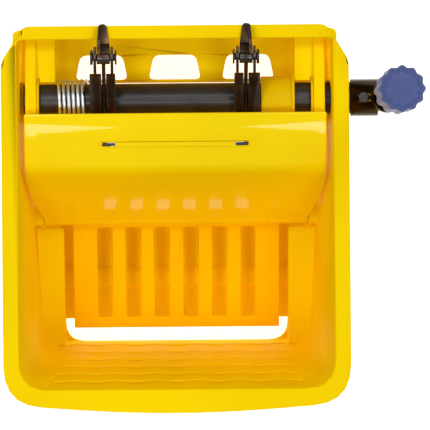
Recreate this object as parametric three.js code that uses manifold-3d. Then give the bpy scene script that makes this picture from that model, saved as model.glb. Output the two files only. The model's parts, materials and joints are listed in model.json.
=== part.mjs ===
// A mop wringer for a mopping bucket: a moulded tub with a hinged press hood, which a
// side handle pulls forward through a shaft, two cranks and two links.
// Millimetres, +Z up, the front of the wringer towards -Y. The pieces are placed about the
// shaft's axis, and the last lines move the whole to its origin on the ground.
import * as THREE from 'three';
import { mergeVertices } from 'three/addons/utils/BufferGeometryUtils.js';
import Module from 'manifold-3d';

const wasm = await Module();
wasm.setup();

// ---------------------------------------------------------------- driving dimensions
const FIT = 0.3;                    // gap between pieces that fit together
const RUN = 0.6;                    // gap round a pin that turns

const RIM_HALF_WIDTH = 155;         // outer half width of the rim
const RIM_FRONT = -284;             // where the rim's two front edges would meet
const RIM_FRONT_BOW = 12;           // how far the rim's front corners stand back
const RIM_BACK = 65;                // back of the rim
const RIM_TOP = 40;                 // top of the rim above the shaft's axis
const RIM_THICK = 6;
const RIM_SIDE_WIDTH = 14;          // width of the rim's top along the sides
const RIM_FRONT_WIDTH = 25;         // and along the front
const RIM_BACK_WIDTH = 12;          // and along the back
const RIM_CORNER = 34;              // how much of each edge the front corners take
const RIM_NOSE = 90;                // and the bend in the middle of the front
const RIM_SHOULDER = 33;            // where the sides start to draw in at the back
const RIM_BACK_INSET = 20;          // how far they draw in
const BACK_CORNER = 6;              // corners at the back, in plan
const TUB_CORNER = 30;              // front corners of the wall at the rim
const BASE_CORNER = 24;             // and at the ground
const BASE_DEPTH = 215;             // from the shaft's axis down to the ground
const BASE_INSET = 20;              // how much narrower the tub is at the ground, each side
const BASE_FRONT = -221;            // front of the tub's inside at the floor
const WALL = 3.5;
const FLOOR_THICK = 4;

const DECK_TOP = -24;               // the deck behind the shaft
const DECK_THICK = 4;
const DECK_SIDE_WIDTH = 17;         // of the blocks beside the deck's recess
const DECK_SIDE_TOP = 10;           // their top
const SHAFT_GAP = 1.25;             // between the deck's front edge and the shaft, in plan
const WINDOW_PITCH = 66;
const WINDOW_COUNT = 3;
const WINDOW_FRONT_WIDTH = 47;
const WINDOW_BACK_WIDTH = 38;
const WINDOW_DEPTH = 22;
const WINDOW_BRIDGE = 3;            // strip of deck in front of the windows

const SHAFT_RADIUS = 14.25;
const SHAFT_END = 2;                // how far the shaft's left end passes its bearing plate
const PLATE_SETBACK = 31;           // bearing plates' inner faces, in from the rim's side
const PLATE_THICK = 10;
const PLATE_TOP = 20;
const PLATE_BOTTOM = -60;
const BUSH_WALL = 3.6;
const BUSH_FLANGE = 2;
const BUSH_FLANGE_RISE = 3;

const CRANK_MIDDLE = 63.4;          // middle of each crank, from the wringer's middle
const CRANK_THICK = 3;
const CRANK_HUB_RADIUS = 20;
const CRANK_PIN = [36.5, 48];       // (y, z) of the crank pin
const CRANK_PIN_RADIUS = 3.2;
const CRANK_PIN_HEAD = 6.5;
const CRANK_PIN_HEAD_THICK = 2.4;
const CRANK_BOSS_WIDTH = 11.6;
const CRANK_BOSS_RADIUS = 6;
const HORN_REACH = 66.5;            // back end of the horn
const HORN_THICK = 3;
const HORN_EDGE_RISE = 9;           // height of the horn's outer edge over the rim
const HORN_TIP_WIDTH = 6.8;
const HORN_TIP_ASIDE = 0.6;         // how far the tip leans outwards

const LINK_EAR_THICK = 2.4;
const LINK_EAR_RADIUS = 8.5;
const LINK_STRAP_THICK = 5;
const LINK_STRAP_START = 18;        // along the link, from the crank pin
const LINK_STRAP_END = 80;
const LINK_STRAP_OUTER = 12.6;      // outer strap's far side, from the crank's middle
const LINK_STRAP_INNER = 10.4;      // inner strap's far side
const LINK_GAP = 2.2;               // from the crank's middle to each strap
const LINK_TAB_THICK = 4;
const LINK_PIN_RADIUS = 3;
const LINK_SLOT_UP = 3.8;           // slot round the hood's pin, across the link
const LINK_SLOT_DOWN = 9.4;
const LINK_SLOT_BACK = 4.2;         // and along it
const LINK_SLOT_FRONT = 6;
const LINK_TAB_RIM = 4;             // metal round the slot

const HOOD_PIN = [-50, -6];         // (y, z) of the links' pins on the hood
const HOOD_PIVOT = [-104, -112];    // (y, z) of the hood's own hinge
const HOOD_LIP = [-13, 31];         // (y, z) of the top surface's back edge
const HOOD_LIP_WIDTH = 15;
const HOOD_LIP_FALL = 1;
const HOOD_KNEE = [-64, 15];        // where the gentle face turns into the steep one
const HOOD_WALL = 4;
const HOOD_SETBACK = 20;            // the hood's sides, in from the rim's
const HOOD_TAPER = 15;              // how much narrower each side is at the hinge
const HOOD_SKIRT_DEPTH = 12;
const HOOD_SKIRT_THICK = 4;
const HOOD_BARREL_RADIUS = 8;
const HOOD_KNEE_TRIM = 10;          // how much of each face the round knee takes
const HOOD_SIDE_BEND = -40;         // z where the sides start to draw in
const HOOD_SIDE_TRIM = 50;
const RECESS_DEPTH = 1.6;           // shallow hollow in the hood's face, in front of the slits
const RECESS_FLOOR_HALF = 62;       // half width of its floor
const RECESS_FLOOR_LENGTH = 6;
const RECESS_HALF_WIDTH = 70;       // half width where it meets the face
const RECESS_LENGTH = 23;
const RECESS_STEP = 0.9;            // how far the step at its back leans
const PIVOT_PIN_RADIUS = 4;
const PIVOT_BOSS_RADIUS = 9;
const CLEVIS_CHEEK = 3;
const CLEVIS_RADIUS = 7;
const SLIT_WIDTH = 12;
const SLIT_DEPTH = 3.2;
const SLIT_AT = -40.5;              // y of the slits over the clevises

const GRATE_BACK = [-108, -126];    // (y, z) of the grate's top surface at its back edge
const GRATE_FRONT = [-208, -172];
const GRATE_THICK = 5;
const GRATE_HALF_WIDTH = 95;
const GRATE_SIDE_GAP = 8.5;
const GRATE_SLOTS = 6;
const GRATE_SLOT_PITCH = 26.5;
const GRATE_SLOT_WIDTH = 13;
const GRATE_SLOT_BACK = 7;          // uncut margin behind the slots
const GRATE_SLOT_FRONT = 10;        // and in front of them
const LEDGE_GAP = 4;                // from a ledge's hollow to the tub's wall at the floor
const DRAIN_CORNER = 18;
const CATCH_BACK_RISE = 56;         // catch plate's height over the floor, under the beam
const CATCH_LOW_RISE = 21;          // behind its hump
const CATCH_HUMP_RISE = 30;         // at the top of the hump
const CATCH_LIP_RISE = 8;           // and at its front lip
const CATCH_LOW_AT = 57;            // those places, back from the grate's front edge
const CATCH_HUMP_BACK = 54;
const CATCH_HUMP_FRONT = 38;
const CATCH_LIP_AT = 8;
const FOOT_WIDTH = 12;              // strips of floor that the tub stands on
const SCREW_RADIUS = 2.2;
const SCREW_HEAD_RADIUS = 4.2;
const SCREW_HEAD_THICK = 2.5;
const SCREW_AT_X = 84;
const BEAM_HEIGHT = 12;             // cross beam under the grate's back edge
const BEAM_BACK = -96;
const BEAM_FRONT = -112.5;
const BEAM_GAP = 0.5;               // between the beam's front edge and the grate

const SPRING_TURNS = 6;
const SPRING_PITCH = 4.2;
const SPRING_WIRE = 1.6;            // wire radius
const SPRING_GAP = 1.3;             // between the coil and the shaft
const SPRING_CLEAR = 1.7;           // between the coil and the left link

const SLEEVE_LENGTH = 30;
const SLEEVE_WALL = 5.2;
const SLEEVE_FLANGE = 3;
const SLEEVE_FLANGE_RISE = 2.4;

const HUB_CLEAR = 2;                // from the rim's side to the handle's socket
const HUB_LENGTH = 21;
const HUB_WALL = 2.2;
const HANDLE_CLEAR = 1;             // from the socket's hub to the handle's tube
const TUBE_RADIUS = 11;
const TUBE_WALL = 1.8;
const TUBE_TOP = 325;
const TUBE_BOTTOM = -18;
const COLLAR_WALL = 3;
const COLLAR_TOP = 30;
const COLLAR_BOTTOM = -22;
const GRIP_RADIUS = 19;
const GRIP_LOBES = 12;
const GRIP_LOBE_DEPTH = 1;
const GRIP_BOTTOM = 228;
const GRIP_TOP = 340;
const BOLT_FROM_HUB = 11.5;         // from the hub's end to the bolt
const BOLT_RADIUS = 2.5;
const BOLT_HEAD_RADIUS = 4.4;
const BOLT_HEAD_THICK = 3;
const NUT_RADIUS = 4.8;
const NUT_THICK = 4;
const ROUND = 32;                   // sides of a round piece

// ---------------------------------------------------------------- places along the shaft
const PLATE_INNER = RIM_HALF_WIDTH - PLATE_SETBACK;
const DECK_HALF_WIDTH = PLATE_INNER - DECK_SIDE_WIDTH;
const SHAFT_LEFT = -(PLATE_INNER + PLATE_THICK + SHAFT_END);
const HOOD_HALF_WIDTH = RIM_HALF_WIDTH - HOOD_SETBACK;
const HOOD_HALF_WIDTH_LOW = HOOD_HALF_WIDTH - HOOD_TAPER;
const HUB_START = RIM_HALF_WIDTH + HUB_CLEAR;
const HUB_END = HUB_START + HUB_LENGTH;
const HANDLE_AT = HUB_END + HANDLE_CLEAR + TUBE_RADIUS;
const BOLT_AT = HUB_START + BOLT_FROM_HUB;
const SPRING_LENGTH = SPRING_TURNS * SPRING_PITCH;
const SPRING_RIGHT = -(CRANK_MIDDLE + LINK_STRAP_OUTER + SPRING_CLEAR + SPRING_WIRE);
const SPRING_LEFT = SPRING_RIGHT - SPRING_LENGTH;

// ---------------------------------------------------------------- materials
const plastic = (name, color) => {
  return new THREE.MeshStandardMaterial({ name, color, roughness: 0.3, metalness: 0 });
};
const metal = (name, color, roughness) => {
  return new THREE.MeshStandardMaterial({ name, color, roughness, metalness: 1 });
};
const YELLOW = 0xf2b800;
const materials = {
  tub: plastic('tub_yellow', YELLOW),
  hood: plastic('hood_yellow', 0xf5c400),
  grate: plastic('grate_yellow', YELLOW),
  bush: plastic('bush_yellow', 0xeeb000),
  grip: plastic('grip_violet', 0x505c96),
  blackSteel: metal('black_steel', 0x241d1a, 0.3),
  plate: metal('lever_steel', 0x3a2c22, 0.35),
  zinc: metal('zinc_steel', 0xc4c8cc, 0.3),
  chrome: metal('chrome_steel', 0x9a9a9c, 0.2),
};

// ---------------------------------------------------------------- solids
function solidOf(geometry) {
  geometry.deleteAttribute('normal');
  geometry.deleteAttribute('uv');
  const merged = mergeVertices(geometry);
  const vertProperties = new Float32Array(merged.attributes.position.array);
  const triVerts = new Uint32Array(merged.index.array);
  return new wasm.Manifold(new wasm.Mesh({ numProp: 3, vertProperties, triVerts }));
}

function geometryOf(solid) {
  const { vertProperties, triVerts } = solid.getMesh();
  const geometry = new THREE.BufferGeometry();
  geometry.setAttribute('position', new THREE.BufferAttribute(new Float32Array(vertProperties), 3));
  geometry.setIndex(new THREE.BufferAttribute(new Uint32Array(triVerts), 1));
  const flat = geometry.toNonIndexed();
  flat.computeVertexNormals();
  return flat;
}

const join = (...solids) => solids.reduce((all, one) => all.add(one));
const cut = (solid, ...tools) => tools.reduce((left, tool) => left.subtract(tool), solid);

// An outline from corners [x, y, trim]: trim is how much of each edge the rounding takes.
function outline(corners, steps = 5) {
  const points = [];
  corners.forEach(([x, y, trim = 0], i) => {
    const corner = new THREE.Vector2(x, y);
    if (trim === 0) {
      points.push(corner);
      return;
    }
    const [px, py] = corners[(i + corners.length - 1) % corners.length];
    const [nx, ny] = corners[(i + 1) % corners.length];
    const before = new THREE.Vector2(px, py).sub(corner).setLength(trim).add(corner);
    const after = new THREE.Vector2(nx, ny).sub(corner).setLength(trim).add(corner);
    points.push(...new THREE.QuadraticBezierCurve(before, corner, after).getPoints(steps));
  });
  return points;
}

function extrude(points, depth) {
  return new THREE.ExtrudeGeometry(new THREE.Shape(points), { depth, bevelEnabled: false });
}

const toVectors = (pairs) => pairs.map(([x, y]) => new THREE.Vector2(x, y));

// A plan outline (x, y) raised from z0 to z1.
function raised(points, z0, z1) {
  return solidOf(extrude(points, z1 - z0).translate(0, 0, z0));
}

// A side profile (y, z) drawn out from x0 to x1.
function drawnAcross(points, x0, x1) {
  const turn = new THREE.Matrix4().set(0, 0, 1, x0, 1, 0, 0, 0, 0, 1, 0, 0, 0, 0, 0, 1);
  return solidOf(extrude(points, x1 - x0).applyMatrix4(turn));
}

// A front profile (x, z) drawn out from y0 to y1.
function drawnBack(points, y0, y1) {
  return solidOf(extrude(points, y1 - y0).rotateX(Math.PI / 2).translate(0, y1, 0));
}

function box(x0, x1, y0, y1, z0, z1) {
  const geometry = new THREE.BoxGeometry(x1 - x0, y1 - y0, z1 - z0);
  return solidOf(geometry.translate((x0 + x1) / 2, (y0 + y1) / 2, (z0 + z1) / 2));
}

// A round bar along X about the point (y, z).
function barX(radius, x0, x1, y = 0, z = 0, sides = ROUND) {
  const geometry = new THREE.CylinderGeometry(radius, radius, x1 - x0, sides);
  return solidOf(geometry.rotateZ(Math.PI / 2).translate((x0 + x1) / 2, y, z));
}

// A round bar along Z about the point (x, y).
function barZ(radius, z0, z1, x = 0, y = 0, sides = ROUND) {
  const geometry = new THREE.CylinderGeometry(radius, radius, z1 - z0, sides);
  return solidOf(geometry.rotateX(Math.PI / 2).translate(x, y, (z0 + z1) / 2));
}

// A tapering block between two outlines with the same number of points.
function loftGeometry(lower, zLower, upper, zUpper) {
  const count = lower.length;
  const position = [];
  lower.forEach((p) => position.push(p.x, p.y, zLower));
  upper.forEach((p) => position.push(p.x, p.y, zUpper));
  const index = [];
  for (let i = 0; i < count; i++) {
    const j = (i + 1) % count;
    index.push(i, j, count + j, i, count + j, count + i);
  }
  THREE.ShapeUtils.triangulateShape(lower, []).forEach(([a, b, c]) => {
    index.push(a, c, b, count + a, count + b, count + c);
  });
  const geometry = new THREE.BufferGeometry();
  geometry.setAttribute('position', new THREE.Float32BufferAttribute(position, 3));
  geometry.setIndex(index);
  return geometry;
}

const loft = (...outlines) => solidOf(loftGeometry(...outlines));

const wringer = new THREE.Group();

function addPiece(name, solid, material) {
  const mesh = new THREE.Mesh(geometryOf(solid), material);
  mesh.name = name;
  wringer.add(mesh);
}

const SIDES = [['left', -1], ['right', 1]];

// A block given by its distances from the middle, on the left or on the right.
const onSide = (side, near, far) => (side > 0 ? [near, far] : [-far, -near]);

// ---------------------------------------------------------------- tub
const RIM_UNDER = RIM_TOP - RIM_THICK;
const BASE = -BASE_DEPTH;
const CAVITY_HALF = RIM_HALF_WIDTH - RIM_SIDE_WIDTH;
const CAVITY_FRONT = RIM_FRONT + RIM_FRONT_WIDTH;
const CAVITY_BACK = RIM_BACK - 2 * WALL;
const DECK_BACK = RIM_BACK - RIM_BACK_WIDTH;
const DECK_FRONT = SHAFT_RADIUS + SHAFT_GAP;
const FLOOR_TOP = BASE + FLOOR_THICK;
const OPENING_HALF = GRATE_HALF_WIDTH + GRATE_SIDE_GAP;
const BUSH_FLANGE_RADIUS = SHAFT_RADIUS + FIT + BUSH_WALL + BUSH_FLANGE_RISE;

function rimOutline() {
  const side = RIM_HALF_WIDTH;
  const backHalf = side - RIM_BACK_INSET;
  const corner = RIM_FRONT + RIM_FRONT_BOW;
  return outline([
    [-side, corner, RIM_CORNER],
    [0, RIM_FRONT, RIM_NOSE],
    [side, corner, RIM_CORNER],
    [side, RIM_SHOULDER, BACK_CORNER],
    [backHalf, RIM_BACK, BACK_CORNER],
    [-backHalf, RIM_BACK, BACK_CORNER],
    [-side, RIM_SHOULDER, BACK_CORNER],
  ]);
}

function tubOutline(half, front, back, corner) {
  return outline([
    [-half, front, corner],
    [half, front, corner],
    [half, back, BACK_CORNER],
    [-half, back, BACK_CORNER],
  ]);
}

function windows() {
  const front = DECK_FRONT + WINDOW_BRIDGE;
  const back = front + WINDOW_DEPTH;
  const first = -((WINDOW_COUNT - 1) / 2) * WINDOW_PITCH;
  return Array.from({ length: WINDOW_COUNT }, (_, i) => {
    const middle = first + i * WINDOW_PITCH;
    const points = outline([
      [middle - WINDOW_FRONT_WIDTH / 2, front, 5],
      [middle + WINDOW_FRONT_WIDTH / 2, front, 5],
      [middle + WINDOW_BACK_WIDTH / 2, back, 6],
      [middle - WINDOW_BACK_WIDTH / 2, back, 6],
    ], 4);
    return raised(points, DECK_TOP - DECK_THICK - 1, DECK_TOP + 1);
  });
}

// The height of the sloping top of the ledges and the grate at a given y.
function slopeZ(y) {
  const [y0, z0] = GRATE_BACK;
  const [y1, z1] = GRATE_FRONT;
  return z0 + ((y - y0) * (z1 - z0)) / (y1 - y0);
}

// A hollow step beside the grate: a sloping top, a back and a wall down to the floor.
function ledge(side) {
  const back = GRATE_BACK[0] - GRATE_SLOT_BACK;
  const front = BASE_FRONT - WALL;
  const profile = toVectors([
    [front, BASE],
    [back, BASE],
    [back, slopeZ(back)],
    [front, slopeZ(front)],
  ]);
  return drawnAcross(profile, ...onSide(side, OPENING_HALF, CAVITY_HALF));
}

// The hollow inside a ledge, open underneath.
function ledgeHollow(side) {
  const back = GRATE_BACK[0] - GRATE_SLOT_BACK - WALL;
  const front = BASE_FRONT + FOOT_WIDTH;
  const profile = toVectors([
    [front, BASE - 1],
    [back, BASE - 1],
    [back, slopeZ(back) - WALL],
    [front, slopeZ(front) - WALL],
  ]);
  const far = CAVITY_HALF - BASE_INSET - LEDGE_GAP;
  return drawnAcross(profile, ...onSide(side, OPENING_HALF + WALL, far));
}

// The catch plate under the grate, with a round hump where the water turns forward.
function catchPlate() {
  const from = (back, rise, ...trim) => [GRATE_FRONT[0] + back, FLOOR_TOP + rise, ...trim];
  const humpFoot = CATCH_HUMP_FRONT - 2;
  const profile = outline([
    [BEAM_BACK, FLOOR_TOP + CATCH_BACK_RISE],
    [BEAM_BACK, FLOOR_TOP + CATCH_BACK_RISE - WALL],
    from(CATCH_LOW_AT, CATCH_LOW_RISE - WALL - 2),
    from(humpFoot, CATCH_LOW_RISE - WALL - 2),
    from(CATCH_LIP_AT + 4, CATCH_LIP_RISE - WALL),
    from(CATCH_LIP_AT, CATCH_LIP_RISE),
    from(humpFoot, CATCH_LOW_RISE - 3),
    from(CATCH_HUMP_FRONT, CATCH_HUMP_RISE - 3, 3),
    from(CATCH_HUMP_BACK, CATCH_HUMP_RISE, 7),
    from(CATCH_LOW_AT, CATCH_LOW_RISE),
  ], 4).reverse();
  return drawnAcross(profile, -OPENING_HALF - WALL, OPENING_HALF + WALL);
}

function crossBeam() {
  return box(-CAVITY_HALF, CAVITY_HALF, BEAM_FRONT, BEAM_BACK, BEAM_UNDER, BEAM_TOP);
}

function bearingPlate(side) {
  const front = -SHAFT_RADIUS - BUSH_WALL - 2;
  const profile = outline([
    [front, PLATE_BOTTOM, 4],
    [DECK_BACK + WALL, PLATE_BOTTOM],
    [DECK_BACK + WALL, PLATE_TOP - 6],
    [DECK_FRONT + 6, PLATE_TOP, 8],
    [front, PLATE_TOP, 12],
  ]);
  const plate = drawnAcross(profile, ...onSide(side, PLATE_INNER, PLATE_INNER + PLATE_THICK));
  const web = box(
    ...onSide(side, PLATE_INNER + PLATE_THICK - 1, CAVITY_HALF + 1),
    DECK_FRONT, DECK_BACK + WALL, PLATE_BOTTOM, DECK_SIDE_TOP,
  );
  return plate.add(web);
}

function housing() {
  const bodyHalf = CAVITY_HALF + WALL;
  const bodyFront = CAVITY_FRONT - WALL;
  const lower = bodyHalf - BASE_INSET;
  const shell = loft(
    tubOutline(lower, BASE_FRONT - WALL, RIM_BACK - WALL, BASE_CORNER), BASE,
    tubOutline(bodyHalf, bodyFront, RIM_BACK - WALL, TUB_CORNER), RIM_TOP - 1,
  );
  const rim = raised(rimOutline(), RIM_UNDER, RIM_TOP);
  const cavity = loft(
    tubOutline(lower - WALL, BASE_FRONT, CAVITY_BACK, BASE_CORNER - WALL), FLOOR_TOP,
    tubOutline(CAVITY_HALF, CAVITY_FRONT, CAVITY_BACK, TUB_CORNER - WALL), RIM_UNDER,
  );
  const mouthOutline = tubOutline(CAVITY_HALF, CAVITY_FRONT, DECK_BACK, TUB_CORNER - WALL);
  const mouth = raised(mouthOutline, RIM_UNDER - 1, RIM_TOP + 1);
  const deck = box(
    -CAVITY_HALF, CAVITY_HALF, DECK_FRONT, CAVITY_BACK + 1, DECK_TOP - DECK_THICK, DECK_TOP,
  );
  const deckSides = SIDES.map(([, side]) => box(
    ...onSide(side, DECK_HALF_WIDTH, PLATE_INNER + 1),
    DECK_FRONT, CAVITY_BACK + 1, DECK_TOP - DECK_THICK, DECK_SIDE_TOP,
  ));
  const pivotBosses = SIDES.map(([, side]) => barX(
    PIVOT_BOSS_RADIUS, ...onSide(side, HOOD_HALF_WIDTH_LOW + 2, CAVITY_HALF),
    ...HOOD_PIVOT, 24,
  ));
  const pivotHoles = SIDES.map(([, side]) => barX(
    PIVOT_PIN_RADIUS + FIT, ...onSide(side, HOOD_HALF_WIDTH_LOW, HOOD_HALF_WIDTH_LOW + 9),
    ...HOOD_PIVOT, 20,
  ));
  const bushHoles = SIDES.map(([, side]) => barX(
    SHAFT_RADIUS + FIT + BUSH_WALL + FIT,
    ...onSide(side, PLATE_INNER - 1, PLATE_INNER + PLATE_THICK + 1),
  ));
  const bushRecesses = SIDES.map(([, side]) => barX(
    BUSH_FLANGE_RADIUS + FIT, ...onSide(side, PLATE_INNER - BUSH_FLANGE - 2 * FIT, PLATE_INNER),
  ));
  const shaftExit = barX(SHAFT_RADIUS + 2, PLATE_INNER + PLATE_THICK - 1, RIM_HALF_WIDTH);
  const frontOpening = raised(outline([
    [-OPENING_HALF, BASE_FRONT, DRAIN_CORNER],
    [OPENING_HALF, BASE_FRONT, DRAIN_CORNER],
    [OPENING_HALF, GRATE_BACK[0] - GRATE_SLOT_BACK],
    [-OPENING_HALF, GRATE_BACK[0] - GRATE_SLOT_BACK],
  ]), BASE - 1, FLOOR_TOP + 1);
  const backOpening = raised(outline([
    [-OPENING_HALF, GRATE_BACK[0] + 2, 8],
    [OPENING_HALF, GRATE_BACK[0] + 2, 8],
    [OPENING_HALF, CAVITY_BACK - FOOT_WIDTH, 8],
    [-OPENING_HALF, CAVITY_BACK - FOOT_WIDTH, 8],
  ]), BASE - 1, FLOOR_TOP + 1);
  const hollow = cut(join(shell, rim), cavity, mouth);
  const fitted = join(
    cut(hollow, frontOpening, backOpening), deck, ...deckSides, catchPlate(), crossBeam(),
    ...SIDES.flatMap(([, side]) => [ledge(side), bearingPlate(side)]), ...pivotBosses,
  );
  // What the blocks above leave outside the tub's wall is trimmed off.
  const trimmed = fitted.intersect(join(shell, rim));
  return cut(
    trimmed, ...windows(), ...pivotHoles, ...bushHoles, ...bushRecesses, shaftExit,
    ...grateScrewHoles(), ...SIDES.map(([, side]) => ledgeHollow(side)),
  );
}

// ---------------------------------------------------------------- grate
const SCREW_AT_Y = (GRATE_BACK[0] + BEAM_FRONT) / 2;
const BEAM_TOP = slopeZ(BEAM_FRONT) - GRATE_THICK - BEAM_GAP;
const BEAM_UNDER = BEAM_TOP - BEAM_HEIGHT;
const SCREW_TIP = slopeZ(SCREW_AT_Y) - 1.4;

function grateScrewHoles() {
  return SIDES.map(([, side]) => {
    return barZ(SCREW_RADIUS + FIT, BEAM_UNDER - 1, BEAM_TOP + 1, side * SCREW_AT_X, SCREW_AT_Y, 16);
  });
}

function strainerGrate() {
  const [yBack, zBack] = GRATE_BACK;
  const [yFront, zFront] = GRATE_FRONT;
  const profile = toVectors([
    [yFront, zFront - GRATE_THICK],
    [yBack, zBack - GRATE_THICK],
    [yBack, zBack],
    [yFront, zFront],
  ]);
  const plate = drawnAcross(profile, -GRATE_HALF_WIDTH, GRATE_HALF_WIDTH);
  const first = -((GRATE_SLOTS - 1) / 2) * GRATE_SLOT_PITCH;
  const slots = Array.from({ length: GRATE_SLOTS }, (_, i) => {
    const middle = first + i * GRATE_SLOT_PITCH;
    const half = GRATE_SLOT_WIDTH / 2;
    return raised(outline([
      [middle - half, yFront + GRATE_SLOT_FRONT, 2],
      [middle + half, yFront + GRATE_SLOT_FRONT, 2],
      [middle + half, yBack - GRATE_SLOT_BACK, 2],
      [middle - half, yBack - GRATE_SLOT_BACK, 2],
    ], 3), zFront - 2 * GRATE_THICK, zBack + GRATE_THICK);
  });
  const screwHoles = SIDES.map(([, side]) => barZ(
    SCREW_RADIUS + FIT, zBack - 3 * GRATE_THICK, SCREW_TIP + FIT, side * SCREW_AT_X, SCREW_AT_Y, 16,
  ));
  return cut(plate, ...slots, ...screwHoles);
}

function grateScrew(side) {
  const shank = barZ(SCREW_RADIUS, BEAM_UNDER - FIT - 1, SCREW_TIP, side * SCREW_AT_X, SCREW_AT_Y, 16);
  const headTop = BEAM_UNDER - FIT;
  const head = barZ(
    SCREW_HEAD_RADIUS, headTop - SCREW_HEAD_THICK, headTop, side * SCREW_AT_X, SCREW_AT_Y, 16,
  );
  return shank.add(head);
}

// ---------------------------------------------------------------- press hood
const HOOD_LIP_FRONT = [HOOD_LIP[0] - HOOD_LIP_WIDTH, HOOD_LIP[1] - HOOD_LIP_FALL];
const HOOD_FACE_SLOPE = (HOOD_LIP_FRONT[1] - HOOD_KNEE[1]) / (HOOD_LIP_FRONT[0] - HOOD_KNEE[0]);

// The hood's outer line from the back of its lip down to its hinge barrel.
const HOOD_LINE = outline([
  HOOD_LIP,
  HOOD_LIP_FRONT,
  [...HOOD_KNEE, HOOD_KNEE_TRIM],
  [HOOD_PIVOT[0] - HOOD_BARREL_RADIUS + 0.5, HOOD_PIVOT[1]],
], 4).map((p) => [p.x, p.y]);

// The same line moved inwards, towards the back and down, by a distance.
function hoodLine(inset) {
  return HOOD_LINE.map(([y, z], i) => {
    const [ay, az] = HOOD_LINE[Math.max(i - 1, 0)];
    const [by, bz] = HOOD_LINE[Math.min(i + 1, HOOD_LINE.length - 1)];
    const before = new THREE.Vector2(y - ay, z - az);
    const after = new THREE.Vector2(by - y, bz - z);
    const normals = [before, after].filter((d) => d.length() > 0).map((d) => {
      return new THREE.Vector2(-d.y, d.x).normalize();
    });
    const sum = normals.reduce((a, b) => a.clone().add(b));
    const scale = normals.length === 2 ? 2 / sum.lengthSq() : 1;
    return [y + sum.x * scale * inset, z + sum.y * scale * inset];
  });
}

// A band along the hood's line between two depths under its surface.
const hoodBand = (from, to) => toVectors([...hoodLine(from), ...hoodLine(to).reverse()]);

function hoodSide() {
  const low = HOOD_PIVOT[1] - HOOD_BARREL_RADIUS - 1;
  const drawnIn = HOOD_PIVOT[1] + HOOD_BARREL_RADIUS;
  const high = HOOD_LIP[1] + 9;
  return outline([
    [-HOOD_HALF_WIDTH_LOW, low],
    [HOOD_HALF_WIDTH_LOW, low],
    [HOOD_HALF_WIDTH_LOW, drawnIn, 6],
    [HOOD_HALF_WIDTH, HOOD_SIDE_BEND, HOOD_SIDE_TRIM],
    [HOOD_HALF_WIDTH, high],
    [-HOOD_HALF_WIDTH, high],
    [-HOOD_HALF_WIDTH, HOOD_SIDE_BEND, HOOD_SIDE_TRIM],
    [-HOOD_HALF_WIDTH_LOW, drawnIn, 6],
  ]);
}

function taperedSheet(from, to, shrink) {
  const sheet = drawnAcross(hoodBand(from, to), -HOOD_HALF_WIDTH, HOOD_HALF_WIDTH);
  const side = hoodSide().map((p) => new THREE.Vector2(p.x - Math.sign(p.x) * shrink, p.y));
  return sheet.intersect(drawnBack(side, HOOD_PIVOT[0] - 40, 40));
}

// The hollow in the hood's face: a step at its back, and soft slopes on its other sides.
function hoodRecess() {
  const back = SLIT_AT + SLIT_DEPTH / 2;
  const rounded = (half, y0, y1) => outline([
    [-half, y0, 4],
    [half, y0, 4],
    [half, y1, 4],
    [-half, y1, 4],
  ], 4);
  const floor = rounded(RECESS_FLOOR_HALF, back - RECESS_FLOOR_LENGTH - 4, back);
  const edge = rounded(RECESS_HALF_WIDTH, back - RECESS_LENGTH, back + RECESS_STEP);
  const above = edge.map((p, i) => p.clone().multiplyScalar(2).sub(floor[i]));
  const hollow = loftGeometry(floor, -RECESS_DEPTH, above, RECESS_DEPTH);
  const startZ = HOOD_LIP_FRONT[1] - HOOD_LIP_FRONT[0] * HOOD_FACE_SLOPE;
  const alongFace = new THREE.Matrix4().set(
    1, 0, 0, 0,
    0, 1, 0, 0,
    0, HOOD_FACE_SLOPE, 1, startZ,
    0, 0, 0, 1,
  );
  return solidOf(hollow.applyMatrix4(alongFace));
}

function pressHood() {
  const sheet = taperedSheet(0, HOOD_WALL, 0);
  const deep = taperedSheet(0, HOOD_SKIRT_DEPTH, 0);
  const skirts = cut(
    deep, taperedSheet(-1, HOOD_SKIRT_DEPTH + 1, HOOD_SKIRT_THICK),
    box(-HOOD_HALF_WIDTH - 1, HOOD_HALF_WIDTH + 1, HOOD_LIP[0] - HOOD_LIP_WIDTH, 1, -1, 99),
  );
  const barrel = barX(
    HOOD_BARREL_RADIUS, -HOOD_HALF_WIDTH_LOW, HOOD_HALF_WIDTH_LOW, ...HOOD_PIVOT, 24,
  );
  const pinHoles = SIDES.map(([, side]) => barX(
    PIVOT_PIN_RADIUS + RUN, ...onSide(side, HOOD_HALF_WIDTH_LOW - 9, HOOD_HALF_WIDTH_LOW + 1),
    ...HOOD_PIVOT, 20,
  ));
  const slits = SIDES.map(([, side]) => {
    const middle = side * (CRANK_MIDDLE - 4);
    return box(
      middle - SLIT_WIDTH / 2, middle + SLIT_WIDTH / 2,
      SLIT_AT - SLIT_DEPTH / 2, SLIT_AT + SLIT_DEPTH / 2, 0, HOOD_LIP[1] + 9,
    );
  });
  return cut(join(sheet, skirts, barrel), hoodRecess(), ...pinHoles, ...slits);
}

function pivotPin(side) {
  const near = HOOD_HALF_WIDTH_LOW - 9 + FIT;
  const far = HOOD_HALF_WIDTH_LOW + 9 - FIT;
  return barX(PIVOT_PIN_RADIUS, ...onSide(side, near, far), ...HOOD_PIVOT, 20);
}

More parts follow.
